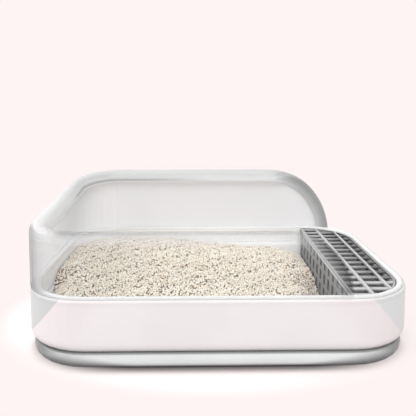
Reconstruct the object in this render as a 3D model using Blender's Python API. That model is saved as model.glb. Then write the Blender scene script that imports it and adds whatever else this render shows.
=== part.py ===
"""Open litter box: a double walled tray on a plinth, a translucent surround, a step grid and a divider.

Metres, +Z up. X runs along the tray with the step grid at +X, and the low side of the surround faces -Y.
The origin is on the floor, under the middle of the tray.
"""

import math
import random

import bmesh
import bpy

# Tray outline at the rim, and how much the walls widen for each metre further down
TRAY_LENGTH = 0.515
TRAY_WIDTH = 0.365
CORNER_RADIUS = 0.085
CORNER_STEPS = 8
WALL_TAPER_SHARE = 0.045

# Fits between pieces
SEAT_GAP = 0.0003
SLIDE_GAP = 0.0005
CUT_OVERRUN = 0.002
WELD_DEPTH = 0.0012

# Foot pads
PAD_RADIUS = 0.0075
PAD_THICKNESS = 0.0017
PAD_BEVEL = 0.0004
PAD_INSET = 0.0185
PAD_SIDES = 20

# Base plinth, a bullnose band under a deck
PLINTH_WALL = 0.0024
PLINTH_HEIGHT = 0.0200
PLINTH_FLANGE = 0.0180
PLINTH_FOOT_INSET = 0.0090
PLINTH_BULGE_INSET = 0.0005
PLINTH_TOP_INSET = 0.0045
PLINTH_BULGE_HEIGHT = 0.0100
NECK_INSET = 0.0090
NECK_HEIGHT = 0.0032
RIB_THICKNESS = 0.0022
RIB_DEPTH = 0.0060
RIB_SPACING = 0.0860
RIB_END_INSET = 0.0100
LONG_RIBS = 3
CROSS_RIBS = 5

# Outer shell of the tray
SHELL_WALL = 0.0024
SHELL_HEIGHT = 0.0690
SHELL_TUCK = 0.0080
SHELL_TUCK_HEIGHT = 0.0105
SHELL_FLANGE = 0.0080
LEDGE_EDGE = 0.0014

# Litter pan with a rolled bead
PAN_WALL = 0.0024
BEAD_INSET = 0.0031
BEAD_WIDTH = 0.0080
BEAD_HEIGHT = 0.0032
BEAD_FOOT = 0.0006
PAN_NECK = 0.0024
PAN_UPPER_TAPER = 0.0015
PAN_STEP_DROP = 0.0290
PAN_STEP = 0.0035
PAN_STEP_HEIGHT = 0.0025
PAN_LOWER_TAPER = 0.0030
PAN_FILLET = 0.0140
FILLET_STEPS = 5

# Step grid over the litter catch
STEP_LENGTH = 0.0880
GRID_THICKNESS = 0.0026
GRID_BELOW_BEAD = 0.0035
GRID_RECESS = 0.0010
GRID_FRAME = 0.0016
GRID_SIDE_BAR = 0.0036
GRID_RIB = 0.0040
FIRST_COLUMN = 0.0235
SECOND_COLUMN = 0.0255
SLOT_COUNT = 15
SLOT_PITCH = 0.0216
SLOT_WIDTH = 0.0126
SLOT_MARGIN = 0.0006
STIFFENER_THICKNESS = 0.0028
STIFFENER_DEPTH = 0.0060
STIFFENER_END_GAP = 0.0015

# Ledge and guides moulded inside the pan
SEAT_LEDGE_WIDTH = 0.0058
SEAT_LEDGE_THICKNESS = 0.0020
SEAT_LEDGE_ROOT = 0.0065
GUIDE_THICKNESS = 0.0020
GUIDE_DEPTH = 0.0040

# Divider between litter and catch
DIVIDER_THICKNESS = 0.0022
DIVIDER_END_GAP = 0.0008
DIVIDER_FLANGE_WIDTH = 0.0040
DIVIDER_FLANGE_THICKNESS = 0.0022
HOLE_COLUMNS = 13
HOLE_PITCH = 0.0246
HOLE_WIDTH = 0.0104
HOLE_CHAMFER = 0.0014
HOLE_TOP_MARGIN = 0.0016
SHORT_HOLE = 0.0110
LONG_HOLE = 0.0155
HOLE_GAP = 0.0068

# Surround with a rolled lip
SURROUND_WALL = 0.0022
SURROUND_FRONT_HEIGHT = 0.0842
SURROUND_BACK_HEIGHT = 0.1147
SURROUND_RISE_POWER = 1.6
SURROUND_OUTER_GAP = 0.0002
FRONT_END_SETBACK = 0.0905
BACK_END_SETBACK = 0.0360
FRONT_END_RADIUS = 0.0835
BACK_END_RADIUS = 0.1280
LIP_OUTER_WIDTH = 0.0110
LIP_OUTER_DROP = 0.0130
LIP_INNER_WIDTH = 0.0140
LIP_INNER_DROP = 0.0150
LIP_DROP = 0.0210
END_LIP_OUTER = 0.0036
END_LIP_INNER = 0.0038
LIP_SLIMMING_LENGTH = 0.0500
LIP_SLIM_BEFORE_GRID = 0.0057
BEAD_CLEARANCE = 0.0004
LIP_STEPS = 5
WALL_ROWS = 4
FRONT_END_STEPS = 12
BACK_END_STEPS = 18
STRAIGHT_STEPS = 4
SIDE_STEPS = 7

# Litter bed
LITTER_GAP = 0.0004
LITTER_LEFT_DEPTH = 0.0510
LITTER_RIGHT_DEPTH = 0.0275
LITTER_DIVIDER_DIP = 0.0125
LITTER_DIVIDER_REACH = 0.0450
LITTER_RIGHT_FALL = 0.0300
LITTER_RIGHT_REACH = 0.0600
LITTER_RIGHT_START = 0.0600
LITTER_RIGHT_SPREAD = 0.1200
LITTER_LEFT_FALL = 0.0250
LITTER_LEFT_REACH = 0.0600
LITTER_LEFT_START = -0.0100
LITTER_LEFT_SPREAD = 0.0800
LITTER_CROWN = 0.0040
LITTER_RIPPLE = 0.0012
LITTER_RIPPLE_LENGTH = 0.0800
LITTER_FALL_CENTRE_SHARE = 0.50
LITTER_FALL_SHARE = 0.34
LITTER_LUMP = 0.0011
LEAST_LUMP_SHARE = 0.35
LUMP_SPACING = 0.0163
LUMP_SEED = 5

# Levels and places that follow from the sizes above
PLINTH_BOTTOM = PAD_THICKNESS + SEAT_GAP
SHOULDER_Z = PLINTH_BOTTOM + PLINTH_HEIGHT
DECK_Z = SHOULDER_Z + NECK_HEIGHT
SHELL_BOTTOM = DECK_Z + SEAT_GAP
LEDGE_Z = SHELL_BOTTOM + SHELL_HEIGHT
BEAD_BOTTOM = LEDGE_Z + SEAT_GAP
BEAD_TOP = BEAD_BOTTOM + BEAD_HEIGHT
PAN_FLOOR_Z = DECK_Z + SEAT_GAP + PAN_WALL
PAN_NECK_Z = BEAD_BOTTOM - PAN_NECK
PAN_STEP_Z = BEAD_BOTTOM - PAN_STEP_DROP
PAN_INNER_INSET = BEAD_INSET + BEAD_WIDTH
LEDGE_INNER_INSET = PAN_INNER_INSET - PAN_WALL - SEAT_GAP
PAN_STEP_INSET = PAN_INNER_INSET + PAN_UPPER_TAPER + PAN_STEP
PAN_FOOT_INSET = PAN_STEP_INSET + PAN_LOWER_TAPER
GRID_TOP = BEAD_TOP - GRID_BELOW_BEAD
GRID_BOTTOM = GRID_TOP - GRID_THICKNESS
SEAT_Z = GRID_BOTTOM - SEAT_GAP
DIVIDER_X = TRAY_LENGTH / 2 - STEP_LENGTH
GRID_LEFT = DIVIDER_X - GRID_SIDE_BAR / 2
GRID_INSET = PAN_INNER_INSET + PAN_UPPER_TAPER + SLIDE_GAP
SEAT_LEDGE_INSET = PAN_INNER_INSET + PAN_UPPER_TAPER + SEAT_LEDGE_WIDTH
SURROUND_BOTTOM = LEDGE_Z + SEAT_GAP
LIP_SLIM_X = GRID_LEFT - LIP_SLIM_BEFORE_GRID
CORNER_X = TRAY_LENGTH / 2 - CORNER_RADIUS
CORNER_Y = TRAY_WIDTH / 2 - CORNER_RADIUS
QUARTER = math.pi / 2
CORNER_ARC = CORNER_RADIUS * QUARTER

# Colours, roughness and opacity of the pieces
FINISHES = {
    "white_plastic": ((0.86, 0.85, 0.85), 0.32, 1.0),
    "pan_plastic": ((0.90, 0.90, 0.90), 0.28, 1.0),
    "plinth_plastic": ((0.72, 0.73, 0.73), 0.36, 1.0),
    "smoke_plastic": ((0.66, 0.66, 0.67), 0.20, 0.45),
    "grid_plastic": ((0.55, 0.55, 0.55), 0.40, 1.0),
    "divider_plastic": ((0.60, 0.60, 0.61), 0.40, 1.0),
    "litter_pellets": ((0.80, 0.72, 0.62), 0.90, 1.0),
    "pad_rubber": ((0.10, 0.10, 0.10), 0.80, 1.0),
}
SMOOTH_ANGLE = math.radians(32)


def clear_scene():
    for item in list(bpy.data.objects):
        bpy.data.objects.remove(item, do_unlink=True)


def finish(name):
    """The material of that name, made once."""
    found = bpy.data.materials.get(name)
    if found:
        return found
    colour, roughness, alpha = FINISHES[name]
    made = bpy.data.materials.new(name)
    made.use_nodes = True
    shader = made.node_tree.nodes["Principled BSDF"]
    shader.inputs["Base Color"].default_value = (*colour, 1.0)
    shader.inputs["Roughness"].default_value = roughness
    shader.inputs["Metallic"].default_value = 0.0
    shader.inputs["Alpha"].default_value = alpha
    return made


def add_object(name, shape, material, origin=(0.0, 0.0, 0.0)):
    """A scene object from a bmesh in world coordinates, with its origin where it is asked for."""
    bmesh.ops.translate(shape, verts=shape.verts, vec=[-value for value in origin])
    mesh = bpy.data.meshes.new(name)
    shape.to_mesh(mesh)
    shape.free()
    mesh.materials.append(finish(material))
    mesh.shade_smooth()
    mesh.set_sharp_from_angle(angle=SMOOTH_ANGLE)
    made = bpy.data.objects.new(name, mesh)
    made.location = origin
    bpy.context.scene.collection.objects.link(made)
    return made


def as_tool(item):
    """Marks an object as one that only shapes another."""
    item.hide_render = True
    item.display_type = "WIRE"
    return item


def add_boolean(target, tool, operation):
    modifier = target.modifiers.new(f"{operation.lower()} {tool.name}", "BOOLEAN")
    modifier.operation = operation
    modifier.object = as_tool(tool)
    modifier.solver = "EXACT"
    return modifier


def add_wall(target, thickness):
    """Gives a surface its moulded wall, on the side away from its normals."""
    modifier = target.modifiers.new("moulded wall", "SOLIDIFY")
    modifier.thickness = thickness
    modifier.offset = -1.0
    modifier.use_even_offset = True


def direction(angle):
    return math.cos(angle), math.sin(angle)


def arc_points(centre, radius, start, turn, steps):
    """Points of an arc in the plane, both ends included."""
    points = []
    for step in range(steps + 1):
        along, across = direction(start + turn * step / steps)
        points.append((centre[0] + radius * along, centre[1] + radius * across))
    return points


def offset_path(points, distance):
    """An open path of (inset, height) moved to its right by a distance, with mitred corners."""
    normals = []
    for (x, z), (next_x, next_z) in zip(points, points[1:]):
        length = math.hypot(next_x - x, next_z - z)
        normals.append(((next_z - z) / length, (x - next_x) / length))
    moved = []
    for index, (x, z) in enumerate(points):
        before, after = normals[max(0, index - 1)], normals[min(index, len(normals) - 1)]
        blend = distance / (1 + before[0] * after[0] + before[1] * after[1])
        moved.append((x + blend * (before[0] + after[0]), z + blend * (before[1] + after[1])))
    return moved


def outline(inset):
    """The rounded outline of the tray moved inwards by inset, anticlockwise from the front right corner."""
    centres = ((CORNER_X, -CORNER_Y), (CORNER_X, CORNER_Y), (-CORNER_X, CORNER_Y), (-CORNER_X, -CORNER_Y))
    points = []
    for index, centre in enumerate(centres):
        points += arc_points(centre, CORNER_RADIUS - inset, (index - 1) * QUARTER, QUARTER, CORNER_STEPS)
    return points


def reach_at(x, inset):
    """How far the inset outline reaches from the middle of the tray, at a place along it."""
    past = max(0.0, abs(x) - CORNER_X)
    return CORNER_Y + math.sqrt(max(0.0, (CORNER_RADIUS - inset) ** 2 - past**2))


def right_outline(left, inset):
    """The part of the inset outline to the right of a line across the tray, from front to back."""
    radius = CORNER_RADIUS - inset
    cut = math.asin(min(1.0, max(0.0, left - CORNER_X) / radius))
    points = arc_points((CORNER_X, -CORNER_Y), radius, cut - QUARTER, QUARTER - cut, CORNER_STEPS)
    points += arc_points((CORNER_X, CORNER_Y), radius, 0, QUARTER - cut, CORNER_STEPS)
    if left < CORNER_X:
        points = [(left, -reach_at(left, inset)), *points, (left, reach_at(left, inset))]
    return points


def bridge_rings(shape, rings, closed):
    """Faces between rings of as many vertices each. Closed rings join their last point to their first."""
    count = len(rings[0])
    for lower, upper in zip(rings, rings[1:]):
        for index in range(count if closed else count - 1):
            after = (index + 1) % count
            shape.faces.new((lower[index], lower[after], upper[after], upper[index]))


def loft_surface(profile, cap_first=False, cap_last=False):
    """A surface through the tray outline at each (inset, height) of a profile, with or without end caps."""
    shape = bmesh.new()
    rings = []
    for inset, height in profile:
        rings.append([shape.verts.new((x, y, height)) for x, y in outline(inset)])
    bridge_rings(shape, rings, True)
    if cap_first:
        shape.faces.new(rings[0][::-1])
    if cap_last:
        shape.faces.new(rings[-1])
    return shape


def loft_band(profile):
    """A closed band: the tray outline carried round a closed profile of (inset, height)."""
    shape = bmesh.new()
    rings = []
    for inset, height in profile:
        rings.append([shape.verts.new((x, y, height)) for x, y in outline(inset)])
    rings.append(rings[0])
    bridge_rings(shape, rings, True)
    bmesh.ops.recalc_face_normals(shape, faces=shape.faces)
    return shape


def prism(points, low, high):
    """A flat outline in X and Y raised between two heights."""
    shape = bmesh.new()
    lower = [shape.verts.new((x, y, low)) for x, y in points]
    upper = [shape.verts.new((x, y, high)) for x, y in points]
    bridge_rings(shape, [lower, upper], True)
    shape.faces.new(lower[::-1])
    shape.faces.new(upper)
    bmesh.ops.recalc_face_normals(shape, faces=shape.faces)
    return shape


def add_cross_plate(shape, points, near, far):
    """Adds to a bmesh a plate whose outline is drawn in Y and Z, between two places along X."""
    first = [shape.verts.new((near, y, z)) for y, z in points]
    second = [shape.verts.new((far, y, z)) for y, z in points]
    bridge_rings(shape, [first, second], True)
    shape.faces.new(first[::-1])
    shape.faces.new(second)


def add_block(shape, low, high):
    """Adds a box between two opposite corners to a bmesh."""
    corners = ((low[0], low[1]), (high[0], low[1]), (high[0], high[1]), (low[0], high[1]))
    lower = [shape.verts.new((x, y, low[2])) for x, y in corners]
    upper = [shape.verts.new((x, y, high[2])) for x, y in corners]
    bridge_rings(shape, [lower, upper], True)
    shape.faces.new(lower[::-1])
    shape.faces.new(upper)


def closed_shape(shape):
    """The bmesh with every face turned outwards."""
    bmesh.ops.recalc_face_normals(shape, faces=shape.faces)
    return shape


def spread(count, pitch):
    """Places of a row of equal steps, centred on zero."""
    return [(index - (count - 1) / 2) * pitch for index in range(count)]


# Outer shell and plinth


def shell_profile():
    """From the inner end of the bottom flange, out and up the wall, to the inner end of the ledge."""
    tuck_top = SHELL_BOTTOM + SHELL_TUCK_HEIGHT
    widest = (tuck_top - LEDGE_Z) * WALL_TAPER_SHARE
    points = [(widest + SHELL_TUCK + SHELL_FLANGE, SHELL_BOTTOM)]
    for step in range(FILLET_STEPS + 1):
        across, up = direction(-QUARTER + QUARTER * step / FILLET_STEPS)
        points.append((widest + SHELL_TUCK * (1 - across), tuck_top + SHELL_TUCK_HEIGHT * up))
    points.append((0, LEDGE_Z - LEDGE_EDGE))
    middle_share = 1 - math.sqrt(0.5)
    points.append((LEDGE_EDGE * middle_share, LEDGE_Z - LEDGE_EDGE * middle_share))
    points.append((LEDGE_EDGE, LEDGE_Z))
    points.append((LEDGE_INNER_INSET, LEDGE_Z))
    return points


def build_shell():
    shell = add_object("outer_shell", loft_surface(shell_profile()), "white_plastic")
    add_wall(shell, SHELL_WALL)
    return shell


def plinth_profile():
    """From the inner end of the bottom flange round the bullnose, over the shoulder and up to the deck."""
    bulge_z = PLINTH_BOTTOM + PLINTH_BULGE_HEIGHT
    points = [(PLINTH_FOOT_INSET + PLINTH_FLANGE, PLINTH_BOTTOM)]
    for step in range(FILLET_STEPS + 1):
        across, up = direction(-QUARTER + QUARTER * step / FILLET_STEPS)
        reach = (PLINTH_FOOT_INSET - PLINTH_BULGE_INSET) * (1 - across)
        points.append((PLINTH_BULGE_INSET + reach, bulge_z + PLINTH_BULGE_HEIGHT * up))
    for step in range(1, FILLET_STEPS + 1):
        across, up = direction(QUARTER * step / FILLET_STEPS)
        reach = (PLINTH_TOP_INSET - PLINTH_BULGE_INSET) * (1 - across)
        points.append((PLINTH_BULGE_INSET + reach, bulge_z + (SHOULDER_Z - bulge_z) * up))
    points.append((NECK_INSET, SHOULDER_Z))
    points.append((NECK_INSET, DECK_Z))
    return points


def build_plinth():
    plinth = add_object("base_plinth", loft_surface(plinth_profile(), cap_last=True), "plinth_plastic")
    add_wall(plinth, PLINTH_WALL)
    low = DECK_Z - PLINTH_WALL - RIB_DEPTH
    high = DECK_Z - PLINTH_WALL + WELD_DEPTH
    reach_x = TRAY_LENGTH / 2 - RIB_END_INSET
    reach_y = TRAY_WIDTH / 2 - RIB_END_INSET
    half = RIB_THICKNESS / 2
    long_ribs = bmesh.new()
    for y in spread(LONG_RIBS, RIB_SPACING):
        add_block(long_ribs, (-reach_x, y - half, low), (reach_x, y + half, high))
    cross_ribs = bmesh.new()
    for x in spread(CROSS_RIBS, RIB_SPACING):
        add_block(cross_ribs, (x - half, -reach_y, low), (x + half, reach_y, high))
    add_boolean(plinth, add_object("plinth_long_ribs", closed_shape(long_ribs), "plinth_plastic"), "UNION")
    add_boolean(plinth, add_object("plinth_cross_ribs", closed_shape(cross_ribs), "plinth_plastic"), "UNION")
    return plinth


def build_pads():
    """Four rubber discs under the plinth, one in each corner."""
    reach_x, reach_y = (value * (CORNER_RADIUS - PAD_INSET) for value in direction(QUARTER / 2))
    for side, x_sign in (("left", -1), ("right", 1)):
        for end, y_sign in (("front", -1), ("back", 1)):
            shape = bmesh.new()
            ends = bmesh.ops.create_cone(
                shape,
                cap_ends=True,
                segments=PAD_SIDES,
                radius1=PAD_RADIUS,
                radius2=PAD_RADIUS,
                depth=PAD_THICKNESS,
            )
            bmesh.ops.translate(shape, verts=ends["verts"], vec=(0, 0, PAD_THICKNESS / 2))
            rims = [edge for edge in shape.edges if abs(edge.verts[0].co.z - edge.verts[1].co.z) < PAD_BEVEL]
            bmesh.ops.bevel(shape, geom=rims, offset=PAD_BEVEL, segments=1, affect="EDGES")
            pad = add_object(f"foot_pad_{end}_{side}", shape, "pad_rubber")
            pad.location = (x_sign * (CORNER_X + reach_x), y_sign * (CORNER_Y + reach_y), 0)


# Litter pan


def bead_path():
    """Over the bead, from its outer foot to just above its inner foot."""
    centre = BEAD_INSET + BEAD_WIDTH / 2
    base = BEAD_BOTTOM + BEAD_FOOT
    points = [(BEAD_INSET, BEAD_BOTTOM)]
    for step in range(2 * FILLET_STEPS - 1):
        along, up = direction(math.pi * step / (2 * FILLET_STEPS - 2))
        points.append((centre - along * BEAD_WIDTH / 2, base + (BEAD_TOP - base) * up))
    return points


def pan_wall_path():
    """Down the inside of the pan, from the foot of the bead to the edge of the flat floor."""
    above_step = PAN_INNER_INSET + PAN_UPPER_TAPER
    points = [(PAN_INNER_INSET, BEAD_BOTTOM), (PAN_INNER_INSET, PAN_NECK_Z)]
    points.append((above_step, PAN_STEP_Z + PAN_STEP_HEIGHT))
    points.append((PAN_STEP_INSET, PAN_STEP_Z))
    for step in range(FILLET_STEPS + 1):
        across, down = direction(QUARTER * step / FILLET_STEPS)
        points.append((PAN_FOOT_INSET + PAN_FILLET * (1 - across), PAN_FLOOR_Z + PAN_FILLET * (1 - down)))
    return points


def pan_inset(height):
    """How far the inner face of the pan stands in from the outline at a height above its floor."""
    wall = pan_wall_path()[::-1]
    for (low_inset, low_z), (high_inset, high_z) in zip(wall, wall[1:]):
        if height <= high_z:
            share = max(0.0, (height - low_z) / (high_z - low_z))
            return low_inset + (high_inset - low_inset) * share
    return PAN_INNER_INSET


def pan_end_points(x, gap, top):
    """(distance from the middle, height) down the inner face of the pan at x, from a height, a gap off it."""
    points = [(reach_at(x, pan_inset(top)) - gap, top)]
    points += [(reach_at(x, inset) - gap, z) for inset, z in pan_wall_path() if z < top]
    return points


def build_seat_ledge():
    """The wedge that carries the grid round the right end of the pan."""
    section = (
        (PAN_INNER_INSET - WELD_DEPTH, SEAT_Z),
        (SEAT_LEDGE_INSET, SEAT_Z),
        (SEAT_LEDGE_INSET, SEAT_Z - SEAT_LEDGE_THICKNESS),
        (PAN_INNER_INSET - WELD_DEPTH, SEAT_Z - SEAT_LEDGE_ROOT),
    )
    start = DIVIDER_X + DIVIDER_FLANGE_WIDTH / 2 + SLIDE_GAP
    shape = bmesh.new()
    runs = []
    for inset, height in section:
        runs.append([shape.verts.new((x, y, height)) for x, y in right_outline(start, inset)])
    bridge_rings(shape, runs + [runs[0]], False)
    shape.faces.new([run[0] for run in runs])
    shape.faces.new([run[-1] for run in runs][::-1])
    return add_object("pan_seat_ledge", closed_shape(shape), "pan_plastic")


def guide_places():
    """Where each guide rib starts and ends along X, one on each face of the divider."""
    near = DIVIDER_THICKNESS / 2 + SLIDE_GAP
    far = near + GUIDE_THICKNESS
    return ((DIVIDER_X - far, DIVIDER_X - near), (DIVIDER_X + near, DIVIDER_X + far))


def guide_outline(x, grow):
    """One guide rib in Y and Z on the back wall, grown by a clearance where something has to pass it."""
    top = SEAT_Z - DIVIDER_FLANGE_THICKNESS - SLIDE_GAP
    outer = pan_end_points(x, -WELD_DEPTH, top)
    inner = pan_end_points(x, GUIDE_DEPTH + grow, top)
    foot = PAN_FLOOR_Z - WELD_DEPTH
    return outer + [(outer[-1][0], foot), (inner[-1][0], foot)] + inner[::-1]


def build_guides():
    """Two ribs on each long wall, which hold the ends of the divider."""
    shape = bmesh.new()
    for near, far in guide_places():
        for side in (-1, 1):
            add_cross_plate(shape, [(side * y, z) for y, z in guide_outline(far, 0)], near, far)
    return add_object("pan_divider_guides", closed_shape(shape), "pan_plastic")


def build_pan():
    wall = pan_wall_path()
    profile = offset_path(wall, PAN_WALL)[::-1] + bead_path() + wall
    pan = add_object("litter_pan", loft_surface(profile, True, True), "pan_plastic")
    add_boolean(pan, build_seat_ledge(), "UNION")
    add_boolean(pan, build_guides(), "UNION")
    return pan


# Divider and step grid


def hole_outline(y, low, high):
    """An upright hole with its corners cut, in Y and Z."""
    half, cut = HOLE_WIDTH / 2, HOLE_CHAMFER
    right = [(y + half, low + cut), (y + half, high - cut), (y + half - cut, high)]
    left = [(y - half + cut, high), (y - half, high - cut), (y - half, low + cut), (y - half + cut, low)]
    return right + left + [(y + half - cut, low)]


def hole_rows():
    """(low, high) of each row of holes from the top down, a long row between two short ones."""
    rows = []
    high = SEAT_Z - DIVIDER_FLANGE_THICKNESS - HOLE_TOP_MARGIN
    for length in (SHORT_HOLE, LONG_HOLE, SHORT_HOLE):
        rows.append((high - length, high))
        high -= length + HOLE_GAP
    return rows


def build_divider():
    """An upright plate with a flange on top, pierced by rows of holes."""
    near, far = DIVIDER_X - DIVIDER_THICKNESS / 2, DIVIDER_X + DIVIDER_THICKNESS / 2
    flange_low = SEAT_Z - DIVIDER_FLANGE_THICKNESS
    end = [(y, z + SEAT_GAP) for y, z in pan_end_points(far, DIVIDER_END_GAP, flange_low + WELD_DEPTH)]
    plate = bmesh.new()
    add_cross_plate(plate, end + [(-y, z) for y, z in end[::-1]], near, far)
    origin = (DIVIDER_X, 0, PAN_FLOOR_Z)
    divider = add_object("divider", closed_shape(plate), "divider_plastic", origin)
    flange = bmesh.new()
    left, right = DIVIDER_X - DIVIDER_FLANGE_WIDTH / 2, DIVIDER_X + DIVIDER_FLANGE_WIDTH / 2
    reach = reach_at(right, GRID_INSET)
    add_block(flange, (left, -reach, flange_low), (right, reach, SEAT_Z))
    add_boolean(divider, add_object("divider_flange", closed_shape(flange), "divider_plastic"), "UNION")
    holes = bmesh.new()
    for y in spread(HOLE_COLUMNS, HOLE_PITCH):
        for low, high in hole_rows():
            add_cross_plate(holes, hole_outline(y, low, high), near - CUT_OVERRUN, far + CUT_OVERRUN)
    add_boolean(divider, add_object("divider_holes", closed_shape(holes), "divider_plastic"), "DIFFERENCE")
    return divider


def grid_columns():
    """(start, end) along X of the three columns of slots between the bars."""
    first = DIVIDER_X + GRID_SIDE_BAR / 2
    second = first + FIRST_COLUMN + GRID_RIB
    third = second + SECOND_COLUMN + GRID_RIB
    return (
        (first, first + FIRST_COLUMN),
        (second, second + SECOND_COLUMN),
        (third, TRAY_LENGTH / 2 - GRID_INSET),
    )


def clipped_tool(name, shape, margin):
    """A cutter kept inside the frame of the grid."""
    tool = add_object(name, closed_shape(shape), "grid_plastic")
    low, high = GRID_BOTTOM - 2 * CUT_OVERRUN, GRID_TOP + 2 * CUT_OVERRUN
    inside = prism(right_outline(GRID_LEFT, GRID_INSET + GRID_FRAME + margin), low, high)
    add_boolean(tool, add_object(f"{name}_limit", inside, "grid_plastic"), "INTERSECT")
    return tool


def build_grid():
    """A slatted plate: three recessed columns, each cut by a row of cross slots, with long ribs between."""
    origin = (DIVIDER_X, 0, GRID_BOTTOM)
    plate = prism(right_outline(GRID_LEFT, GRID_INSET), GRID_BOTTOM, GRID_TOP)
    grid = add_object("step_grid", plate, "grid_plastic", origin)
    half_width = TRAY_WIDTH / 2 - GRID_INSET
    recesses = bmesh.new()
    slots = bmesh.new()
    for near, far in grid_columns():
        low, high = GRID_TOP - GRID_RECESS, GRID_TOP + CUT_OVERRUN
        add_block(recesses, (near, -half_width, low), (far, half_width, high))
        for y in spread(SLOT_COUNT, SLOT_PITCH):
            start = (near + SLOT_MARGIN, y - SLOT_WIDTH / 2, GRID_BOTTOM - CUT_OVERRUN)
            end = (far - SLOT_MARGIN, y + SLOT_WIDTH / 2, GRID_TOP + CUT_OVERRUN)
            add_block(slots, start, end)
    add_boolean(grid, clipped_tool("grid_recesses", recesses, 0), "DIFFERENCE")
    add_boolean(grid, clipped_tool("grid_slots", slots, SLOT_MARGIN), "DIFFERENCE")
    stiffeners = bmesh.new()
    low, high = GRID_BOTTOM - STIFFENER_DEPTH, GRID_BOTTOM + WELD_DEPTH
    for (_, near), (far, _) in zip(grid_columns(), grid_columns()[1:]):
        left, right = (near + far - STIFFENER_THICKNESS) / 2, (near + far + STIFFENER_THICKNESS) / 2
        reach = reach_at(right, SEAT_LEDGE_INSET + STIFFENER_END_GAP)
        add_block(stiffeners, (left, -reach, low), (right, reach, high))
    add_boolean(grid, add_object("grid_stiffeners", closed_shape(stiffeners), "grid_plastic"), "UNION")
    return grid


# Surround


def path_point(distance, inset):
    """A point on the tray outline, moved inwards, at a distance from the front right corner's start.

    The path runs left along the front, round the left end, and right along the back into the last corner.
    """
    front = 2 * CORNER_X
    side = 2 * CORNER_Y
    radius = CORNER_RADIUS - inset
    half = TRAY_WIDTH / 2 - inset
    if distance < 0:
        along, across = direction(-QUARTER - distance / CORNER_RADIUS)
        return CORNER_X + radius * along, -CORNER_Y + radius * across
    if distance <= front:
        return CORNER_X - distance, -half
    distance -= front
    if distance <= CORNER_ARC:
        along, across = direction(-QUARTER - distance / CORNER_RADIUS)
        return -CORNER_X + radius * along, -CORNER_Y + radius * across
    distance -= CORNER_ARC
    if distance <= side:
        return inset - TRAY_LENGTH / 2, distance - CORNER_Y
    distance -= side
    if distance <= CORNER_ARC:
        along, across = direction(math.pi - distance / CORNER_RADIUS)
        return -CORNER_X + radius * along, CORNER_Y + radius * across
    distance -= CORNER_ARC
    if distance <= front:
        return distance - CORNER_X, half
    along, across = direction(QUARTER - (distance - front) / CORNER_RADIUS)
    return CORNER_X + radius * along, CORNER_Y + radius * across


def short_of_corner(setback):
    """How far along the path a wall ends before the right corner, below zero where it ends inside it."""
    if setback >= CORNER_RADIUS:
        return setback - CORNER_RADIUS
    return -CORNER_RADIUS * math.asin((CORNER_RADIUS - setback) / CORNER_RADIUS)


def surround_ends():
    """Distances along the path at which the front and back walls meet the ledge."""
    whole = 4 * CORNER_X + 2 * CORNER_ARC + 2 * CORNER_Y
    return short_of_corner(FRONT_END_SETBACK), whole - short_of_corner(BACK_END_SETBACK)


def crest_height(distance):
    """Height of the lip above the floor, low along the front and rising to the back."""
    _, y = path_point(distance, 0)
    share = min(1.0, max(0.0, y / TRAY_WIDTH + 0.5))
    rise = (SURROUND_BACK_HEIGHT - SURROUND_FRONT_HEIGHT) * share**SURROUND_RISE_POWER
    return SURROUND_BOTTOM + SURROUND_FRONT_HEIGHT + rise


def smooth_share(value):
    value = min(1.0, max(0.0, value))
    return value * value * (3 - 2 * value)


def lip_section(narrow):
    """(inset, drop below the crest) over the rolled lip, from the outer wall to the free edge.

    narrow runs from 0, the full lip, to 1, the slim lip at the ends of the walls.
    """
    outer_width = LIP_OUTER_WIDTH + (END_LIP_OUTER - LIP_OUTER_WIDTH) * narrow
    outer_drop = LIP_OUTER_DROP + (END_LIP_OUTER - LIP_OUTER_DROP) * narrow
    inner_width = LIP_INNER_WIDTH + (END_LIP_INNER - LIP_INNER_WIDTH) * narrow
    inner_drop = LIP_INNER_DROP + (END_LIP_INNER - LIP_INNER_DROP) * narrow
    points = []
    for step in range(LIP_STEPS + 1):
        across, up = direction(QUARTER * step / LIP_STEPS)
        points.append((outer_width * (1 - across), outer_drop * (1 - up)))
    for step in range(1, LIP_STEPS + 1):
        down, across = direction(QUARTER * step / LIP_STEPS)
        points.append((outer_width + inner_width * across, inner_drop * (1 - down)))
    points.append((outer_width + inner_width, LIP_DROP))
    return points


def straight_column(distance):
    """(path distance, height, inset) up the wall and over the lip, where the crest is level."""
    section = lip_section(0)
    crest = crest_height(distance)
    low, high = SURROUND_BOTTOM, crest - section[0][1]
    points = []
    for row in range(WALL_ROWS):
        points.append((distance, low + (high - low) * row / WALL_ROWS, 0))
    for inset, drop in section:
        points.append((distance, crest - drop, inset))
    return points


def end_column(start, sign, radius, crest, share):
    """The same points where the crest turns down on an arc to meet the ledge, at a share of that arc."""
    crest_x, _ = path_point(start + sign * radius * math.sin(QUARTER * share), 0)
    section = lip_section(smooth_share(1 - (LIP_SLIM_X - crest_x) / LIP_SLIMMING_LENGTH))
    centre_z = crest - radius

    def on_arc(drop):
        reach = radius - drop
        last = math.asin(max(-1.0, min(1.0, (SURROUND_BOTTOM - centre_z) / reach)))
        across, up = direction(QUARTER + (last - QUARTER) * share)
        return start + sign * reach * across, centre_z + reach * up

    reach = radius - section[0][1]
    foot = math.sqrt(max(0.0, reach**2 - (SURROUND_BOTTOM - centre_z) ** 2))
    low = (start + sign * foot * share, SURROUND_BOTTOM)
    high = on_arc(section[0][1])
    points = []
    for row in range(WALL_ROWS):
        part = row / WALL_ROWS
        points.append((low[0] + (high[0] - low[0]) * part, low[1] + (high[1] - low[1]) * part, 0))
    for inset, drop in section:
        points.append((*on_arc(drop), inset))
    return points


def arc_foot(radius, crest):
    """How far from its centre an end arc meets the ledge."""
    return math.sqrt(max(0.0, radius**2 - (SURROUND_BOTTOM - crest + radius) ** 2))


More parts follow.
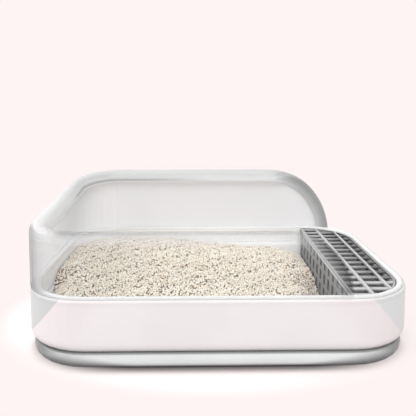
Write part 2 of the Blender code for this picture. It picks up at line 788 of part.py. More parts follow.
def surround_columns():
    """Every column of the surround, from the front end round the left to the back end."""
    front_end, back_end = surround_ends()
    front_crest, back_crest = crest_height(front_end), crest_height(back_end - CORNER_RADIUS)
    front_start = front_end + arc_foot(FRONT_END_RADIUS, front_crest)
    back_start = back_end - arc_foot(BACK_END_RADIUS, back_crest)
    columns = []
    for step in range(FRONT_END_STEPS):
        share = 1 - step / FRONT_END_STEPS
        columns.append(end_column(front_start, -1, FRONT_END_RADIUS, front_crest, share))
    corner = 2 * CORNER_X
    stops = [(front_start, corner, STRAIGHT_STEPS), (corner, corner + CORNER_ARC, CORNER_STEPS + 2)]
    corner += CORNER_ARC
    stops.append((corner, corner + 2 * CORNER_Y, SIDE_STEPS))
    corner += 2 * CORNER_Y
    stops.append((corner, corner + CORNER_ARC, CORNER_STEPS + 2))
    stops.append((corner + CORNER_ARC, back_start, STRAIGHT_STEPS))
    for first, last, steps in stops:
        columns += [straight_column(first + (last - first) * step / steps) for step in range(steps)]
    for step in range(BACK_END_STEPS + 1):
        columns.append(end_column(back_start, 1, BACK_END_RADIUS, back_crest, step / BACK_END_STEPS))
    return columns


def build_surround():
    """The wall that stands on the ledge outside the bead, with its rolled lip."""
    shape = bmesh.new()
    runs = []
    for column in surround_columns():
        run = []
        for distance, height, inset in column:
            lean = WALL_TAPER_SHARE * (height - SURROUND_BOTTOM)
            x, y = path_point(distance, inset + lean + SURROUND_OUTER_GAP)
            run.append(shape.verts.new((x, y, height)))
        runs.append(run)
    bridge_rings(shape, runs, False)
    bmesh.ops.remove_doubles(shape, verts=shape.verts, dist=SEAT_GAP / 10)
    surround = add_object("surround", shape, "smoke_plastic", (0, 0, SURROUND_BOTTOM))
    add_wall(surround, SURROUND_WALL)
    gap = BEAD_CLEARANCE
    low, high = LEDGE_Z - CUT_OVERRUN, BEAD_TOP + gap
    outer, inner = BEAD_INSET - gap, PAN_INNER_INSET + gap
    notch = loft_band(((outer, low), (inner, low), (inner, high), (outer, high)))
    add_boolean(surround, add_object("surround_bead_notch", notch, "smoke_plastic"), "DIFFERENCE")
    return surround


# Litter bed


def front_fall_share(off_wall, reach, forward, spread):
    """Share of its fall that the heap has near a wall: none past the reach, and more towards the front."""
    return smooth_share(1 - off_wall / reach) * smooth_share(forward / spread)


def litter_depth(x, y):
    """Depth of the heap above the pan floor: high on the left, low at the divider and the front corners."""
    along = x / TRAY_LENGTH + 0.5
    fall = smooth_share((along - LITTER_FALL_CENTRE_SHARE + LITTER_FALL_SHARE) / (2 * LITTER_FALL_SHARE))
    depth = LITTER_LEFT_DEPTH + (LITTER_RIGHT_DEPTH - LITTER_LEFT_DEPTH) * fall
    off_right, off_left = DIVIDER_X - x, x + TRAY_LENGTH / 2
    depth -= LITTER_DIVIDER_DIP * smooth_share(1 - off_right / LITTER_DIVIDER_REACH)
    right_share = front_fall_share(off_right, LITTER_RIGHT_REACH, LITTER_RIGHT_START - y, LITTER_RIGHT_SPREAD)
    left_share = front_fall_share(off_left, LITTER_LEFT_REACH, LITTER_LEFT_START - y, LITTER_LEFT_SPREAD)
    depth -= LITTER_RIGHT_FALL * right_share + LITTER_LEFT_FALL * left_share
    crown = math.cos(math.pi * y / TRAY_WIDTH) * math.cos(math.pi * x / TRAY_LENGTH)
    depth += LITTER_CROWN * crown
    turn = 2 * math.pi / LITTER_RIPPLE_LENGTH
    return depth + LITTER_RIPPLE * math.sin(turn * x) * math.cos(turn * y)


def litter_surface(left, right, front, back, floor):
    """Rows of points on the loose top, where neighbours take turns to stand up and to lie low."""
    dice = random.Random(LUMP_SEED)
    rows = round((back - front) / LUMP_SPACING)
    columns = round((right - left) / LUMP_SPACING)
    surface = []
    for row in range(rows + 1):
        y = front + (back - front) * row / rows
        points = []
        for column in range(columns + 1):
            x = left + (right - left) * column / columns
            lump = LITTER_LUMP * dice.uniform(LEAST_LUMP_SHARE, 1)
            turn = 1 if (row + column) % 2 else -1
            points.append((x, y, floor + max(litter_depth(x, y) + turn * lump, -CUT_OVERRUN / 2)))
        surface.append(points)
    return surface


def rim_of(rows):
    """The points round the edge of a grid of rows."""
    return [row[0] for row in rows] + rows[-1][1:] + [row[-1] for row in rows[-2::-1]] + rows[0][-2:0:-1]


def build_litter():
    """The heap, kept inside the pan, beside the divider and clear of its guides."""
    left, right = -TRAY_LENGTH / 2, DIVIDER_X - DIVIDER_THICKNESS / 2 - LITTER_GAP
    front, back = -TRAY_WIDTH / 2, TRAY_WIDTH / 2
    floor = PAN_FLOOR_Z + SEAT_GAP
    shape = bmesh.new()
    top, bottom = [], []
    for points in litter_surface(left, right, front, back, floor):
        top.append([shape.verts.new(point) for point in points])
        bottom.append([shape.verts.new((x, y, floor - CUT_OVERRUN)) for x, y, _ in points])
    bridge_rings(shape, top, False)
    bridge_rings(shape, [row[::-1] for row in bottom], False)
    bridge_rings(shape, [rim_of(bottom), rim_of(top)], True)
    litter = add_object("litter_bed", closed_shape(shape), "litter_pellets")
    profile = [(inset + LITTER_GAP, z + SEAT_GAP) for inset, z in pan_wall_path()]
    cavity = loft_surface(profile, True, True)
    add_boolean(litter, add_object("litter_limit", closed_shape(cavity), "litter_pellets"), "INTERSECT")
    near, far = guide_places()[0]
    notch = bmesh.new()
    for side in (-1, 1):
        points = [(side * y, z) for y, z in guide_outline(far, LITTER_GAP)]
        add_cross_plate(notch, points, near - LITTER_GAP, far + CUT_OVERRUN)
    add_boolean(litter, add_object("litter_guide_notch", closed_shape(notch), "litter_pellets"), "DIFFERENCE")
    return litter


def build_litter_box():
    clear_scene()
    build_pads()
    build_plinth()
    build_shell()
    build_pan()
    build_litter()
    build_divider()
    build_grid()
    build_surround()


build_litter_box()
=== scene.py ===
"""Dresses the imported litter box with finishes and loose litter, and sets floor, light and camera.

Metres, +Z up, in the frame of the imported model: the low side faces -Y and the step grid is at +X.
A value whose name ends in FADE is a pair, where a change of finish begins and where it ends.
One that ends in SHARE is how far a finish is carried towards a colour, where 1 is all the way.
"""

import math
import random

import bmesh
import bpy
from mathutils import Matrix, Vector
from mathutils.bvhtree import BVHTree


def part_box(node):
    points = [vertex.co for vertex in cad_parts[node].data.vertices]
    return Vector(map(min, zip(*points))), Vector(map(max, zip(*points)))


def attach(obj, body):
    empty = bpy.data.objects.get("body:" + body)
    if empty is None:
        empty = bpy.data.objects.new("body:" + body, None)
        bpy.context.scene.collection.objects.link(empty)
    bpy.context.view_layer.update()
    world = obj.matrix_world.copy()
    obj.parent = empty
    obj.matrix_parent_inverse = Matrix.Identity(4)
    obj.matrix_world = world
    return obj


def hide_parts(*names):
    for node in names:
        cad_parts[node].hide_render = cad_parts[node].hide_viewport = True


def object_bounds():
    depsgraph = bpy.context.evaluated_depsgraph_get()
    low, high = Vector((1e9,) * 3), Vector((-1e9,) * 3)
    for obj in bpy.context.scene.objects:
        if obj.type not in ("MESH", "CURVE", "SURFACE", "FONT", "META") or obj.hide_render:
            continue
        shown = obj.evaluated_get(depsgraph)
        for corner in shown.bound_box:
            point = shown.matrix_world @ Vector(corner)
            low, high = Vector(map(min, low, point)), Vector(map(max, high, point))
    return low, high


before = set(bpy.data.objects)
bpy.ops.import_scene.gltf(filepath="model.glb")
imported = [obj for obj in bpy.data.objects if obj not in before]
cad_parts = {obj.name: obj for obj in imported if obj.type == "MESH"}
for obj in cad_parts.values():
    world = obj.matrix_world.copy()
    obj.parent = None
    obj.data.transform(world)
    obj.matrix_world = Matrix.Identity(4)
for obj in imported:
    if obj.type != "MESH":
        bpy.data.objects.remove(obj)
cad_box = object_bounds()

# Camera
CAMERA_PLACE = (-0.02489, -0.76072, 0.33853)
CAMERA_PITCH = 0.21532
CAMERA_YAW = 0.01596
CAMERA_LENS = 43.27
CAMERA_NEAR = 0.01
SENSOR = 36.0

# Floor and backdrop, with a painted contact shadow around the object's foot. FLOOR_FADE is in radii of
# the object's foot, CONTACT_FADE in shares of open sky
BACKDROP = (1.0, 0.905, 0.905)
FLOOR_COLOUR = (0.97, 0.885, 0.885)
FLOOR_BOUNCE = (0.42, 0.41, 0.41)
FLOOR_HALF = 8.0
FLOOR_ROUGHNESS = 0.9
FLOOR_FADE = (1.03, 1.35)
CONTACT_REACH = 0.014
CONTACT_FADE = (0.45, 0.95)
CONTACT_SHADOW_SHARE = 0.62
CONTACT_SHADOW_COLOUR = (0.12, 0.10, 0.10)

# Light: name, place, width and power of each softbox
SKY_COLOUR = (0.99, 1.0, 1.0)
SKY_LEVEL = 0.74
SOFTBOX_AIM = (0, 0, 0.08)
SOFTBOXES = (
    ("key", (0.30, -1.9, 1.5), 1.3, 22),
    ("fill", (-1.6, 0.0, 1.4), 1.2, 22),
    ("top", (0.0, 0.0, 2.1), 1.2, 6),
)
TRANSPARENT_BOUNCES = 32

# Samples of the nodes that look around, and the sockets that a Mix node has for colours
NODE_SAMPLES = 8
MIX_FACTOR = 0
MIX_FIRST = 6
MIX_SECOND = 7
MIX_RESULT = 2

# Moulded plastics: the two tones and the polish they drift between, and the lengths of patch and grain
MOULDINGS = {
    "white_plastic": {
        "tones": ((0.84, 0.795, 0.795), (0.89, 0.845, 0.845)),
        "polish": (0.26, 0.36), "patch": 0.11, "grain": 0.0011, "grain_depth": 0.00006,
    },
    "plinth_plastic": {
        "tones": ((0.78, 0.79, 0.79), (0.84, 0.85, 0.85)),
        "polish": (0.28, 0.38), "patch": 0.09, "grain": 0.0012, "grain_depth": 0.00006,
    },
    "pan_plastic": {
        "tones": ((0.87, 0.87, 0.875), (0.91, 0.91, 0.915)),
        "polish": (0.10, 0.18), "patch": 0.10, "grain": 0.0010, "grain_depth": 0.00005,
    },
    "divider_plastic": {
        "tones": ((0.93, 0.93, 0.935), (0.98, 0.98, 0.985)),
        "polish": (0.42, 0.55), "patch": 0.05, "grain": 0.0009, "grain_depth": 0.00012,
    },
    "grid_plastic": {
        "tones": ((0.22, 0.22, 0.22), (0.26, 0.26, 0.26)),
        "polish": (0.40, 0.52), "patch": 0.05, "grain": 0.0009, "grain_depth": 0.00012,
    },
}
DRIFT = (0.2, 0.8)
DRIFT_DETAIL = (4.0, 0.55)
GRAIN_DETAIL = (3.0, 0.6)
GRAIN_STRENGTH = 0.35
PLASTIC_SPECULAR = 0.45
ROUNDING = 0.009

# Shell: its grey corners of painted shade and reflection, with a pinker painted band before them, begin
# at CORNER_START from the middle, on the right CORNER_SHIFT nearer
SHELL_FRONT_FADE = (0.0, -0.10)
CORNER_SLOPE = 0.85
CORNER_SHIFT = 0.009
CORNER_START = 0.200
CORNER_FADE = (CORNER_START, CORNER_START + 0.002)
CORNER_SHADE_GREY = (0.74, 0.74, 0.74)
REFLECTION_BLUSH_FADE = (CORNER_START - 0.075, CORNER_START - 0.030)
REFLECTION_BLUSH_SHARE = 0.85
REFLECTION_BLUSH = (0.865, 0.785, 0.793)
LEFT_CORNER_FADE = (-0.10, -0.15)
LEFT_CORNER_SHADE_GREY = (0.63, 0.63, 0.63)
# Painted shade on the shell towards the groove under it
GROOVE_REACH = 0.007
GROOVE_SHADE_SHARE = 0.62
GROOVE_SHADE = (0.30, 0.29, 0.29)

# Plinth: painted shade along its foot, towards its ends and at its neck. The shade of the foot is
# FOOT_REACH high, low in the middle and high at the ends
PLINTH_ENDS_FADE = (0.172, 0.240)
PLINTH_ENDS_SHADE_SHARE = 0.80
FOOT_REACH_FADE = (0.10, 0.225)
FOOT_REACH = (0.0080, 0.029)
FOOT_FADE = (0.10, 1.0)
FOOT_SHADE_SHARE = 0.97
FOOT_SHADE = (0.09, 0.09, 0.09)
NECK_FADE = (0.0205, 0.0216)
NECK_SHADE_SHARE = 0.5
NECK_SHADE = (0.16, 0.16, 0.16)

# Pan: painted shade in the catch under the step and on the top of its bead. BEAD_FADE is in depths
# under its top
CATCH_SHADE_EDGE = 0.004
CATCH_SHADE = (0.30, 0.30, 0.30)
BEAD_FADE = (0.004, 0.002)
BEAD_SHADE_SHARE = 0.30
BEAD_SHADE = (0.62, 0.62, 0.62)
LEFT_BEAD_FADE = (-0.240, -0.200)

# Divider: painted shade towards its back and on the walls of its holes. HOLE_WALL is about half the
# thickness of its plate
REAR_SHADE_SHARE = 0.85
REAR_SHADE = (0.34, 0.34, 0.34)
HOLE_WALL = 0.00125
HOLE_EDGE = HOLE_WALL / 6
HOLE_SHADE = (0.06, 0.06, 0.06)

# Step grid: painted light by the divider and at the front, painted shade on the far side. INNER_FADE
# and OUTER_FADE are in shares of its width, RIB_FADE in depths under its top
INNER_FADE = (0.35, 0.65)
INNER_LIGHT = (0.50, 0.50, 0.50)
OUTER_FADE = (0.62, 0.80)
OUTER_SHADE = (0.09, 0.09, 0.09)
GRID_SHARE = 0.85
GRID_FRONT_FADE = (-0.120, -0.090)
GRID_FRONT_LIGHT = (0.54, 0.54, 0.54)
RIB_FADE = (0.0006, 0.0002)
RIB_GREY = (0.62, 0.62, 0.62)

# Surround: its shape
CREST_RISE = 0.0305
CREST_RISE_POWER = 1.6
LIP_DEPTH = 0.0152
CORNER_RADIUS = 0.085
BACK_END_RADIUS = 0.128
FRONT_END_RADIUS = 0.0835
FRONT_END_X = 0.1668

# Surround: its zones, most of them masks of painted light and shade. END values are in radii of a
# curved end, BROW_FADE in heights of the brow
BACK_FADE = (-0.165, 0.150)
LEFT_START = -0.195
LIP_FADE = (LIP_DEPTH - 0.0020, LIP_DEPTH + 0.0012)
END_RIM = 0.99
END_BESIDE_FADE = (0.10, 0.60)
BACK_END_START = 0.78
BACK_END_FADE = (0.05, 0.12)
FRONT_END_START = 0.62
FRONT_END_FADE = (-0.10, -0.15)
WING_FOOT_FADE = (0.002, 0.010)
BROW_FRONT_FADE = (-0.120, -0.150)
BROW_START_FADE = (-0.214, -0.196)
BROW_REACH_FADE = (-0.200, -0.150)
BROW_REACH = (0.0095, 0.0050)
BROW_FADE = (0.1, 1.0)
LINE_SPAN = (LIP_DEPTH - 0.0095, LIP_DEPTH + 0.0008, 0.0016)
LINE_DEPTH_FADE = (LIP_DEPTH - 0.0080, LIP_DEPTH)
LINE_ALONG_FADE = (-0.140, 0.020)
LINE_BEHIND_FADE = (0.020, 0.080)
EDGE_FRONT_FADE = (-0.172, -0.128)
EDGE_BACK_FADE = (-0.124, -0.100)
EDGE_SKIN_FADE = (CORNER_RADIUS - 0.010, CORNER_RADIUS - 0.006)
EDGE_WEST_FADE = (0.0, -0.02)
POOL_WEST_FADE = (-0.150, -0.200)
POOL_BACK_FADE = (0.0, 0.100)
SHELTER_SPAN = (0.006, 0.034, 0.008)
CROWN_FADE = (0.004, 0.010)

# Surround: its density, and the painted light and shade of its zones, each laid over the ones before
CLEAR_DENSITY = 0.05
ZONE_DENSITY = {
    "back": 0.44,
    "left": 0.26,
    "lip": 0.09,
    "brow": 0.19,
    "line": 0.06,
    "edge": 0.50,
    "rim": 0.32,
    "wing": 0.20,
}
ZONE_PAINTED_LIGHT_AND_SHADE = (
    # Zone, share and colour: left and pale are painted light; crown, rim, wing, line and dark are
    # painted shade
    ("left", 0.80, (0.94, 0.95, 0.96)),
    ("pale", 0.80, (0.90, 0.92, 0.93)),
    ("crown", 0.85, (0.62, 0.62, 0.62)),
    ("rim", 0.85, (0.30, 0.30, 0.30)),
    ("wing", 0.98, (0.02, 0.02, 0.02)),
    ("line", 0.78, (0.30, 0.30, 0.30)),
    ("dark", 0.88, (0.22, 0.22, 0.22)),
)
SMOKE_TONES = ((0.0, (0.70, 0.71, 0.72)), (1.0, (0.87, 0.895, 0.91)))
SMOKE_POLISH = (0.42, 0.50)
SMOKE_PATCH = (0.09, 3.0, 0.5)
SMOKE_CLOUD = (-0.012, 0.012)
SMOKE_GRAIN = (0.0016, 2.0, 0.5)
SMOKE_GRAIN_STRENGTH = 0.2
SMOKE_GRAIN_DEPTH = 0.00005
SKIN_ROUNDING = 0.0016

# Foot pads
PAD_GRAIN = (0.0012, 4.0, 0.6)
PAD_TONES = ((0.3, (0.012, 0.012, 0.012)), (0.7, (0.03, 0.03, 0.03)))
PAD_POLISH = (0.7, 0.9)
PAD_RELIEF = (0.5, 0.0002)
GRAINS = (0.3, 0.7)

# Finish of the litter, with painted shade in the chinks between pellets. CHINK_FADE is in shares of
# open sky
TONE_WEIGHT = 0.65
SPECK_WEIGHT = 0.35
SPECK_GRAIN = (0.0011, 4.0, 0.65)
PELLET_TONES = (
    (0.0, (0.09, 0.055, 0.03)),
    (0.12, (0.36, 0.24, 0.15)),
    (0.26, (0.88, 0.75, 0.59)),
    (0.50, (1.0, 0.91, 0.79)),
    (0.75, (1.0, 0.96, 0.88)),
)
PELLET_POLISH = (0.78, 0.95)
PELLET_RELIEF = (0.6, 0.0003)
PELLET_SPECULAR = 0.25
CHINK_REACH = 0.0022
CHINK_FADE = (0.30, 0.67)
CHINK_SHADE_SHARE = 0.95
CHINK_SHADE = (0.13, 0.085, 0.05)

# Shape of the litter: a share of the pellets lie deeper and are painted dark, as shade in the gaps
# between the others, and the top of the bed is painted dark as shade between the pellets
PELLET_RADIUS = 0.00118
PELLET_RADIUS_RANGE = (0.85, 1.1)
PELLET_LENGTH = 0.0030
PELLET_LENGTH_SPREAD = 0.30
PELLET_TAPER = 0.94
PELLET_SIDES = 4
PELLET_PITCH = 0.00292
PITCH_SCATTER = 0.45
PELLET_TILT = 0.50
PELLET_FLATNESS = 0.6
PELLET_RISE = 0.0007
PELLET_RISE_RANGE = (-1.2, 1)
PELLET_CLEARANCE = 0.0003
SHADED_PELLETS = 0.15
SHADED_DROP = 0.0007
SHADED_TONE = -0.14
STEEP = 0.5
BED_SINK = 0.0020
BED_SHADE_TONE = -0.6
EDGE_TONE = 0.7
SHARP_ANGLE = 50
PLACE_TRIES = 6
SEED = 11


# Node helpers


def new_material(name):
    """A new material, its node tree and its main shader."""
    made = bpy.data.materials.new(name)
    made.use_nodes = True
    return made, made.node_tree, made.node_tree.nodes["Principled BSDF"]


def add_node(tree, kind, inputs=None, **settings):
    """A node with its settings and inputs: an input is a value, or the socket it is linked from."""
    made = tree.nodes.new(kind)
    for key, value in settings.items():
        setattr(made, key, value)
    for key, value in (inputs or {}).items():
        if isinstance(value, bpy.types.NodeSocket):
            tree.links.new(value, made.inputs[key])
        else:
            made.inputs[key].default_value = value
    return made


def place_socket(tree):
    return add_node(tree, "ShaderNodeTexCoord").outputs["Object"]


def axes(tree):
    """X, Y and Z of the shaded place."""
    parts = add_node(tree, "ShaderNodeSeparateXYZ", {"Vector": place_socket(tree)}).outputs
    return parts["X"], parts["Y"], parts["Z"]


def noise(tree, place, length, detail, roughness):
    """Noise whose features are about a length across."""
    inputs = {"Vector": place, "Scale": 1 / length, "Detail": detail, "Roughness": roughness}
    return add_node(tree, "ShaderNodeTexNoise", inputs).outputs["Fac"]


def ramp(tree, value, stops):
    """Colours at places along a value from 0 to 1."""
    made = add_node(tree, "ShaderNodeValToRGB", {"Fac": value})
    made.color_ramp.interpolation = "EASE"
    elements = made.color_ramp.elements
    while len(elements) < len(stops):
        elements.new(0.5)
    for element, (position, colour) in zip(elements, stops):
        element.position = position
        element.color = (*colour, 1.0)
    return made.outputs["Color"]


def remap(tree, value, source, target, kind="LINEAR"):
    """A value carried from one range to another and held at its ends."""
    inputs = {"Value": value}
    inputs["From Min"], inputs["From Max"] = source
    inputs["To Min"], inputs["To Max"] = target
    return add_node(tree, "ShaderNodeMapRange", inputs, interpolation_type=kind).outputs["Result"]


def rising(tree, value, fade, most=1.0):
    """From 0 where a fade begins to the most where it ends."""
    return remap(tree, value, fade, (0.0, most), "SMOOTHSTEP")


def falling(tree, value, fade, most=1.0):
    """From the most where a fade begins to 0 where it ends."""
    return remap(tree, value, fade, (most, 0.0), "SMOOTHSTEP")


def combine(tree, operation, first, second):
    return add_node(tree, "ShaderNodeMath", {0: first, 1: second}, operation=operation).outputs["Value"]


def product(tree, *factors):
    """All factors multiplied."""
    result = factors[0]
    for factor in factors[1:]:
        result = combine(tree, "MULTIPLY", result, factor)
    return result


def absolute(tree, value):
    return add_node(tree, "ShaderNodeMath", {0: value}, operation="ABSOLUTE").outputs["Value"]


def span(tree, value, low, high, edge):
    """1 between two values and 0 outside them, over a soft edge."""
    begun = rising(tree, value, (low, low + edge))
    return product(tree, begun, falling(tree, value, (high - edge, high)))


def vector_length(tree, vector):
    return add_node(tree, "ShaderNodeVectorMath", {0: vector}, operation="LENGTH").outputs["Value"]


def distance(tree, first, second):
    """The distance from the point where two values are 0."""
    flat = add_node(tree, "ShaderNodeCombineXYZ", {"X": first, "Y": second})
    return vector_length(tree, flat.outputs["Vector"])


def open_sky(tree, reach, **settings):
    """The share of the surroundings of a place, as far as a reach, that nothing covers."""
    settings["samples"] = NODE_SAMPLES
    return add_node(tree, "ShaderNodeAmbientOcclusion", {"Distance": reach}, **settings).outputs["AO"]


def rounded(tree, radius):
    """Normals that run smoothly from facet to facet of a curved wall."""
    return add_node(tree, "ShaderNodeBevel", {"Radius": radius}, samples=NODE_SAMPLES).outputs["Normal"]


def relief(tree, height, strength, depth, normal=None):
    inputs = {"Height": height, "Strength": strength, "Distance": depth}
    if normal:
        inputs["Normal"] = normal
    return add_node(tree, "ShaderNodeBump", inputs).outputs["Normal"]


def mix_colour(tree, factor, first, second):
    """The first colour, a value or a socket, carried towards the second by a factor."""
    inputs = {MIX_FACTOR: factor, MIX_FIRST: first, MIX_SECOND: (*second, 1.0)}
    return add_node(tree, "ShaderNodeMix", inputs, data_type="RGBA").outputs[MIX_RESULT]


def shade_colour(made, factor, colour):
    """Carries the base colour of a finish towards another colour by a factor."""
    tree = made.node_tree
    socket = tree.nodes["Principled BSDF"].inputs["Base Color"]
    tree.links.new(mix_colour(tree, factor, socket.links[0].from_socket, colour), socket)


def finish_surface(tree, shader, colour, roughness, normal):
    """Links the sockets that every finish has to its shader."""
    tree.links.new(colour, shader.inputs["Base Color"])
    tree.links.new(roughness, shader.inputs["Roughness"])
    tree.links.new(normal, shader.inputs["Normal"])


# Finishes


def moulded_plastic(name):
    """Plastic with faint drifts of tone, an uneven polish and the fine grain of its mould."""
    look = MOULDINGS[name]
    made, tree, shader = new_material(name)
    place = place_socket(tree)
    drift = noise(tree, place, look["patch"], *DRIFT_DETAIL)
    fine = noise(tree, place, look["grain"], *GRAIN_DETAIL)
    colour = ramp(tree, drift, tuple(zip(DRIFT, look["tones"])))
    normal = relief(tree, fine, GRAIN_STRENGTH, look["grain_depth"], rounded(tree, ROUNDING))
    finish_surface(tree, shader, colour, remap(tree, drift, DRIFT, look["polish"]), normal)
    shader.inputs["Specular IOR Level"].default_value = PLASTIC_SPECULAR
    return made


def shell_finish():
    """Blush white plastic, with painted reflection and shade on its front corners, a pinker band and
    then neutral grey, and painted shade towards the groove under it.

    The border of a grey corner slants outwards down to the foot.
    """
    made = moulded_plastic("white_plastic")
    tree = made.node_tree
    x, y, z = axes(tree)
    low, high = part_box("outer_shell")
    end = combine(tree, "MAXIMUM", product(tree, x, -1), combine(tree, "ADD", x, CORNER_SHIFT))
    slant = product(tree, combine(tree, "SUBTRACT", high.z, z), CORNER_SLOPE)
    out = combine(tree, "SUBTRACT", end, slant)
    front = rising(tree, y, SHELL_FRONT_FADE)
    # Painted reflection and shade on the front corners: a pinker band, then grey past the slanted
    # border, greyer still on the left
    shade_colour(made, product(tree, rising(tree, out, REFLECTION_BLUSH_FADE, REFLECTION_BLUSH_SHARE), front), REFLECTION_BLUSH)
    corner = rising(tree, out, CORNER_FADE)
    shade_colour(made, product(tree, corner, front), CORNER_SHADE_GREY)
    left = rising(tree, x, LEFT_CORNER_FADE)
    shade_colour(made, product(tree, corner, left, front), LEFT_CORNER_SHADE_GREY)
    # Painted shade towards the groove under the shell
    shade_colour(made, falling(tree, z, (low.z, low.z + GROOVE_REACH), GROOVE_SHADE_SHARE), GROOVE_SHADE)
    return made


def plinth_finish():
    """Grey white plastic, with painted shade along its foot, towards its ends and at its neck under the
    groove.
    """
    made = moulded_plastic("plinth_plastic")
    tree = made.node_tree
    x, _, z = axes(tree)
    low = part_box("base_plinth")[0]
    side = absolute(tree, x)
    ends = rising(tree, side, PLINTH_ENDS_FADE, PLINTH_ENDS_SHADE_SHARE)
    reach = remap(tree, side, FOOT_REACH_FADE, FOOT_REACH, "SMOOTHSTEP")
    above = combine(tree, "DIVIDE", combine(tree, "SUBTRACT", z, low.z), reach)
    foot = falling(tree, above, FOOT_FADE, FOOT_SHADE_SHARE)
    # Painted shade along the foot and towards the ends, then at the neck
    shade_colour(made, combine(tree, "MAXIMUM", ends, foot), FOOT_SHADE)
    shade_colour(made, rising(tree, z, NECK_FADE, NECK_SHADE_SHARE), NECK_SHADE)
    return made


def pan_finish():
    """White pan plastic, with painted shade in the closed catch under the step and on the top of its
    bead, but not at its left end.
    """
    made = moulded_plastic("pan_plastic")
    tree = made.node_tree
    x, _, z = axes(tree)
    low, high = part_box("divider")[0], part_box("step_grid")[1]
    # Painted shade in the closed catch under the step
    past_the_end = 2 * high.x
    along = span(tree, x, low.x, past_the_end, CATCH_SHADE_EDGE)
    upward = span(tree, z, 0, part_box("divider")[1].z + CATCH_SHADE_EDGE, CATCH_SHADE_EDGE)
    shade_colour(made, product(tree, along, upward), CATCH_SHADE)
    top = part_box("litter_pan")[1].z
    # Painted shade on the top of the bead, left out towards the left end
    bead = rising(tree, z, (top - BEAD_FADE[0], top - BEAD_FADE[1]), BEAD_SHADE_SHARE)
    shade_colour(made, product(tree, bead, rising(tree, x, LEFT_BEAD_FADE)), BEAD_SHADE)
    return made


def divider_finish():
    """Pale divider plastic, with painted shade towards the back and on the walls of its holes."""
    made = moulded_plastic("divider_plastic")
    tree = made.node_tree
    x, y, z = axes(tree)
    low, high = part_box("divider")
    middle = (low.x + high.x) / 2
    # Painted shade towards the back, then on the walls of the holes
    shade_colour(made, rising(tree, y, (0.0, high.y), REAR_SHADE_SHARE), REAR_SHADE)
    inside = span(tree, x, middle - HOLE_WALL, middle + HOLE_WALL, HOLE_EDGE)
    under = span(tree, z, low.z, high.z - HOLE_WALL * 2, HOLE_EDGE)
    shade_colour(made, product(tree, inside, under), HOLE_SHADE)
    return made


def grid_finish():
    """Grey step plastic, with painted light by the divider and the front and painted shade on the far
    side, bright on ribs.
    """
    made = moulded_plastic("grid_plastic")
    tree = made.node_tree
    x, y, z = axes(tree)
    low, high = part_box("step_grid")
    across = remap(tree, x, (low.x, high.x), (0.0, 1.0))
    # Painted light by the divider and at the front, painted shade on the far side
    shade_colour(made, falling(tree, across, INNER_FADE, GRID_SHARE), INNER_LIGHT)
    shade_colour(made, rising(tree, across, OUTER_FADE, GRID_SHARE), OUTER_SHADE)
    shade_colour(made, falling(tree, y, GRID_FRONT_FADE), GRID_FRONT_LIGHT)
    ribs = rising(tree, z, (high.z - RIB_FADE[0], high.z - RIB_FADE[1]), GRID_SHARE)
    shade_colour(made, ribs, RIB_GREY)
    return made


# Zones of the surround, each from 0 outside it to 1 in it


def crest_drop(tree, y, z):
    """How far a place lies below the crest of the surround, which rises from the front to the back."""
    low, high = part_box("surround")
    share = remap(tree, y, (low.y, high.y), (0.0, 1.0))
    climb = product(tree, combine(tree, "POWER", share, CREST_RISE_POWER), CREST_RISE)
    crest = combine(tree, "ADD", climb, high.z - CREST_RISE)
    return combine(tree, "SUBTRACT", crest, z)


def curved_end(tree, place, end, radius, start, wall_fade):
    """The rim of a curved end of the wall on one side along Y, where painted shade is laid."""
    x, y, z = place
    across = combine(tree, "SUBTRACT", x, end[0] - radius)
    upward = combine(tree, "SUBTRACT", z, end[1] - radius)
    off = distance(tree, combine(tree, "MAXIMUM", across, 0), upward)
    rim = rising(tree, off, (start * radius, END_RIM * radius))
    beside = rising(tree, across, (END_BESIDE_FADE[0] * radius, END_BESIDE_FADE[1] * radius))
    return product(tree, rim, beside, rising(tree, y, wall_fade))


def front_brow(tree, place, drop):
    """A soft line of painted shade under the front crest, wider towards the left."""
    x, y, _ = place
    reach = remap(tree, x, BROW_REACH_FADE, BROW_REACH)
    brow = falling(tree, combine(tree, "DIVIDE", drop, reach), BROW_FADE)
    return product(tree, brow, rising(tree, x, BROW_START_FADE), rising(tree, y, BROW_FRONT_FADE))


def back_line(tree, place, drop):
    """A line of painted shade under the back lip, from the left corner to the middle."""
    x, y, _ = place
    line = product(tree, span(tree, drop, *LINE_SPAN), rising(tree, drop, LINE_DEPTH_FADE))
    return product(tree, line, falling(tree, x, LINE_ALONG_FADE), rising(tree, y, LINE_BEHIND_FADE))


def left_edge(tree, place, low):
    """The outer skin of the front left corner, where painted shade darkens the edge."""
    x, y, _ = place
    curve = product(tree, remap(tree, y, EDGE_FRONT_FADE, (0.0, 1.0)), falling(tree, y, EDGE_BACK_FADE))
    west = combine(tree, "SUBTRACT", x, low.x + CORNER_RADIUS)
    south = combine(tree, "SUBTRACT", y, low.y + CORNER_RADIUS)
    skin = rising(tree, distance(tree, west, south), EDGE_SKIN_FADE)
    return product(tree, curve, skin, rising(tree, west, EDGE_WEST_FADE))


